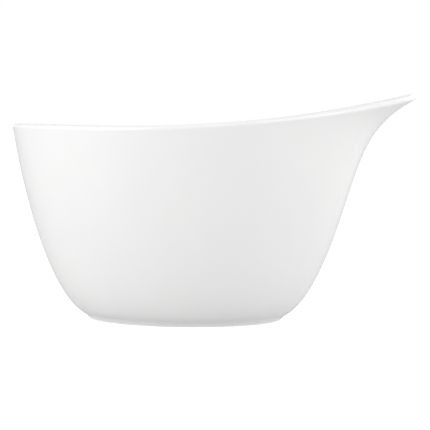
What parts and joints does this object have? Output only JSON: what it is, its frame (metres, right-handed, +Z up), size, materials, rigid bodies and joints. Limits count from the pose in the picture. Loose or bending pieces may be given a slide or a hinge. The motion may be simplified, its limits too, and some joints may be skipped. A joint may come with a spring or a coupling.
{
  "type": "lipped porcelain dish",
  "caption": "Deep round white glazed porcelain dish on a low foot ring, its rim swept up and out into a pouring lip that also serves as the grip.",
  "frame": {"origin": "middle of the overall length and width, on the surface the foot ring stands on", "axes": "+X towards the drawn lip, +Z up out of the bowl, Y across; the axis of the turned bowl and foot ring is parallel to Z at x = -0.0107"},
  "size_m": [0.1592, 0.1386, 0.0902],
  "materials": {
    "fired_body": "unglazed, fine matte",
    "glaze": "white gloss",
    "well_glaze": "white gloss, slightly softer"
  },
  "bodies": {
    "root": {"porcelain_body": "fired_body", "glaze_coat": "glaze", "foot_well_glaze": "well_glaze"}
  },
  "joints": []
}
